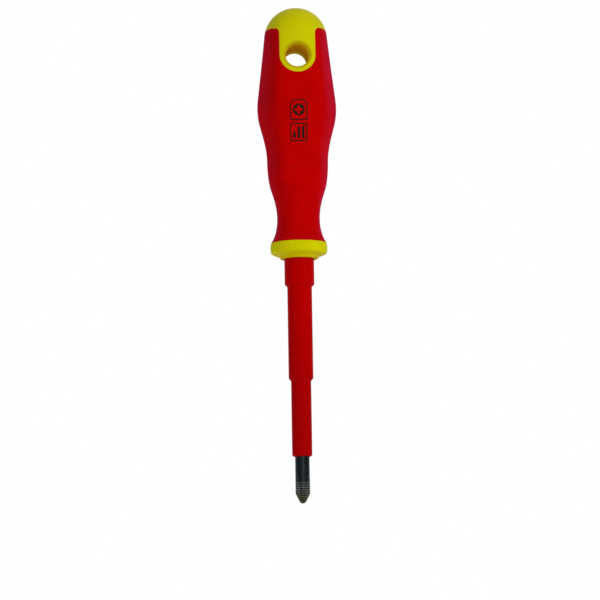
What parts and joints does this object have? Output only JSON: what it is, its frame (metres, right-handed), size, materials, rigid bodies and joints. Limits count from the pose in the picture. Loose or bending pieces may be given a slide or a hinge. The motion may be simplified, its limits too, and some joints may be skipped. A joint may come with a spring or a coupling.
{
  "type": "insulated screwdriver",
  "caption": "Insulated cross-tip screwdriver: stepped red blade sleeve, soft faceted red grip, yellow guard collar and domed yellow butt with a hanging hole.",
  "frame": {"origin": "on the tool's long axis, at the nose of the blade's cross tip", "axes": "+Z along the tool from the tip to the domed butt; -Y is the printed front face of the handle; +X and -X point at the handle's two side ridges; the hanging hole runs along Y"},
  "size_m": [0.0331, 0.03, 0.2087],
  "materials": {
    "blade_steel": "black-finished hardened steel, satin",
    "sleeve_plastic": "satin moulded insulation",
    "yellow_plastic": "semi-gloss moulded hard plastic",
    "soft_grip": "matte soft elastomer",
    "print_ink": "matt pad-printed ink"
  },
  "bodies": {
    "root": {"blade": "blade_steel", "blade_sleeve": "sleeve_plastic", "guard_collar": "yellow_plastic", "handle_core": "yellow_plastic", "end_cap": "yellow_plastic", "grip": "soft_grip", "printed_tip_mark": "print_ink", "printed_bar_mark": "print_ink"}
  },
  "joints": []
}
